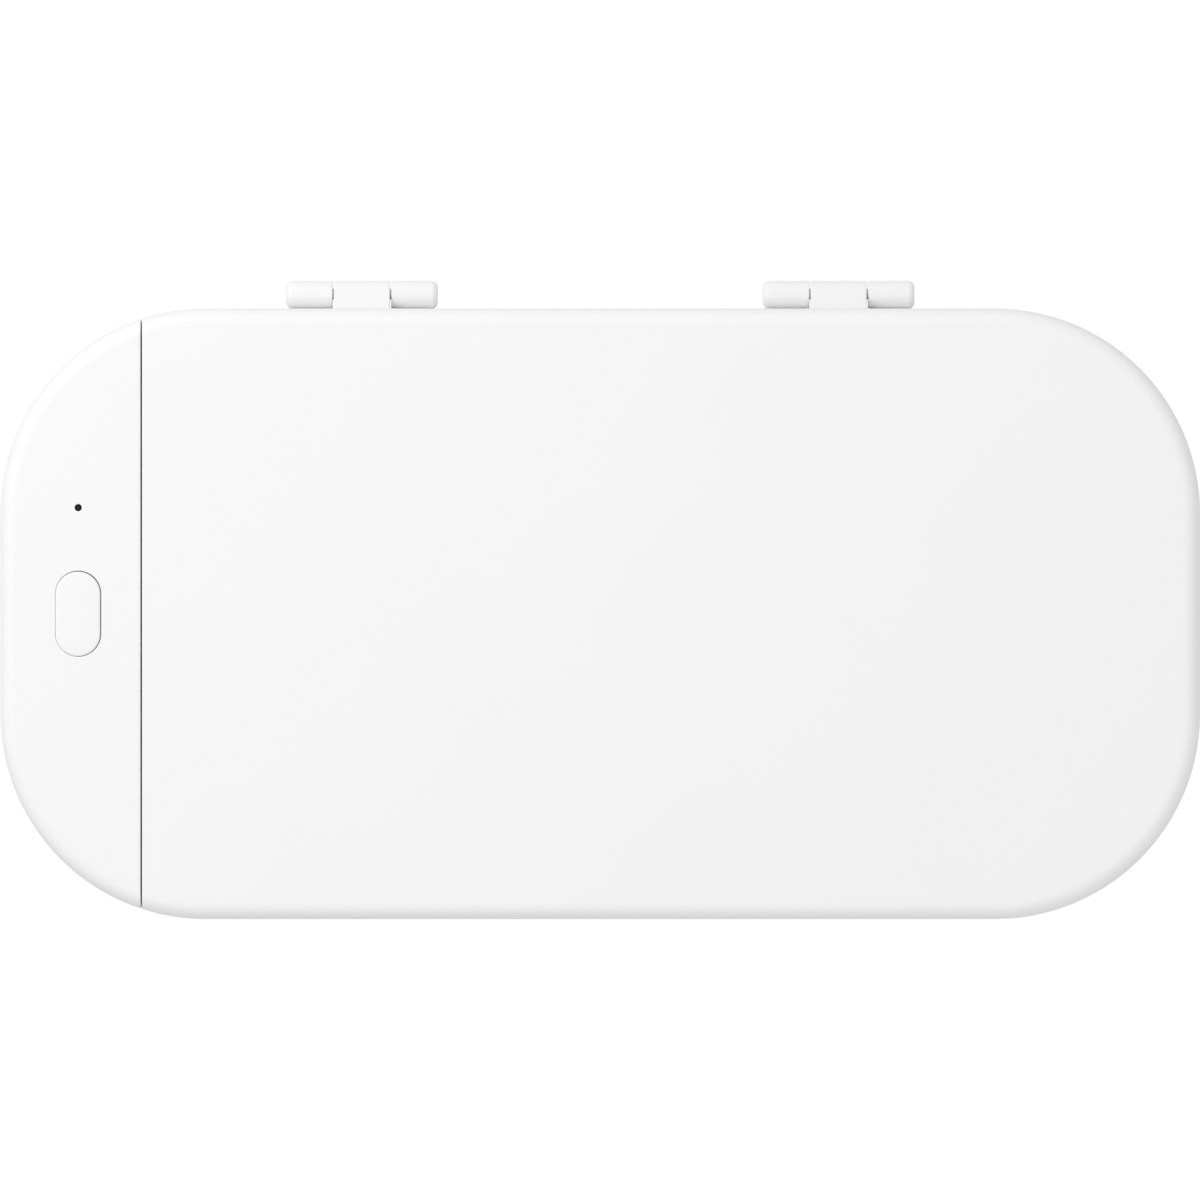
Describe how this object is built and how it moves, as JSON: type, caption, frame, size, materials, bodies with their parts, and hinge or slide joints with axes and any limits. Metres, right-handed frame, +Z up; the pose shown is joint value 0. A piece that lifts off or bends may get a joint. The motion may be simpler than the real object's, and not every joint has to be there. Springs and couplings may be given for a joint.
{
  "type": "uv sanitizer box",
  "caption": "White rounded UV sanitizer box for phones, with a hinged lid, mirrored chamber, push button and indicator at one end.",
  "frame": {"origin": "on the table, under the middle of the object's outline seen from above, with its hinges", "axes": "+X runs from the control end to the far end of the lid, +Y to the hinges, +Z up"},
  "size_m": [0.22, 0.1172, 0.0454],
  "materials": {
    "white_shell": "satin",
    "white_button": "satin",
    "mirror_coat": "polished",
    "quartz": "polished",
    "clear_rail": "gloss",
    "white_board": "satin",
    "green_board": "satin",
    "socket_steel": "satin",
    "steel": "satin",
    "magnet_plating": "polished",
    "black_part": "matte",
    "capacitor_can": "satin",
    "lamp_body": "gloss",
    "smoked_lens": "gloss",
    "flat_lead": "satin",
    "cable_jacket": "matte",
    "connector_body": "satin",
    "foot_rubber": "matte"
  },
  "bodies": {
    "case": {"base_shell": "white_shell", "control_cover": "white_shell", "chamber_tray": "mirror_coat", "lower_window": "quartz", "phone_rest_front": "clear_rail", "phone_rest_rear": "clear_rail", "lower_led_board": "white_board", "main_board": "green_board", "button_board": "green_board", "usb_c_socket": "socket_steel", "controller_chip": "black_part", "power_inductor": "black_part", "tact_switch": "black_part", "hall_sensor": "black_part", "capacitor": "capacitor_can", "indicator_led": "lamp_body", "light_pipe": "smoked_lens", "button_ribbon": "flat_lead", "lower_led_ribbon": "flat_lead", "lid_feed_cable": "cable_jacket", "flex_connector": "connector_body", "hinge_pin_left": "steel", "catch_plate_left": "steel", "hinge_pin_right": "steel", "catch_plate_right": "steel", "main_board_screw_front": "steel", "button_board_screw_front": "steel", "main_board_screw_rear": "steel", "button_board_screw_rear": "steel", "lower_uv_led_1": "lamp_body", "foot_1": "foot_rubber", "case_screw_1": "steel", "lower_uv_led_2": "lamp_body", "foot_2": "foot_rubber", "case_screw_2": "steel", "lower_uv_led_3": "lamp_body", "foot_3": "foot_rubber", "case_screw_3": "steel", "lower_uv_led_4": "lamp_body", "foot_4": "foot_rubber", "case_screw_4": "steel"},
    "lid": {"lid_shell": "white_shell", "lid_liner": "mirror_coat", "lid_led_board": "white_board", "lid_window": "quartz", "lid_flex_cable": "flat_lead", "latch_magnet_left": "magnet_plating", "latch_magnet_right": "magnet_plating", "sensor_magnet": "magnet_plating", "lid_uv_led_1": "lamp_body", "lid_uv_led_2": "lamp_body", "lid_uv_led_3": "lamp_body", "lid_uv_led_4": "lamp_body", "liner_screw_1": "steel", "liner_screw_2": "steel", "liner_screw_3": "steel", "liner_screw_4": "steel"},
    "button": {"button_cap": "white_button", "switch_plunger": "black_part"}
  },
  "joints": [
    {"name": "lid_hinge", "type": "hinge", "parent": "case", "child": "lid", "pos_m": [0, 0.05615, 0.0292], "axis": [-1, 0, 0], "range_deg": [0, 105], "deforming": ["lid_flex_cable"]},
    {"name": "button_press", "type": "slide", "parent": "case", "child": "button", "axis": [0, 0, -1], "range_m": [0, 0.0005], "stiffness_N_per_m": 3000}
  ]
}
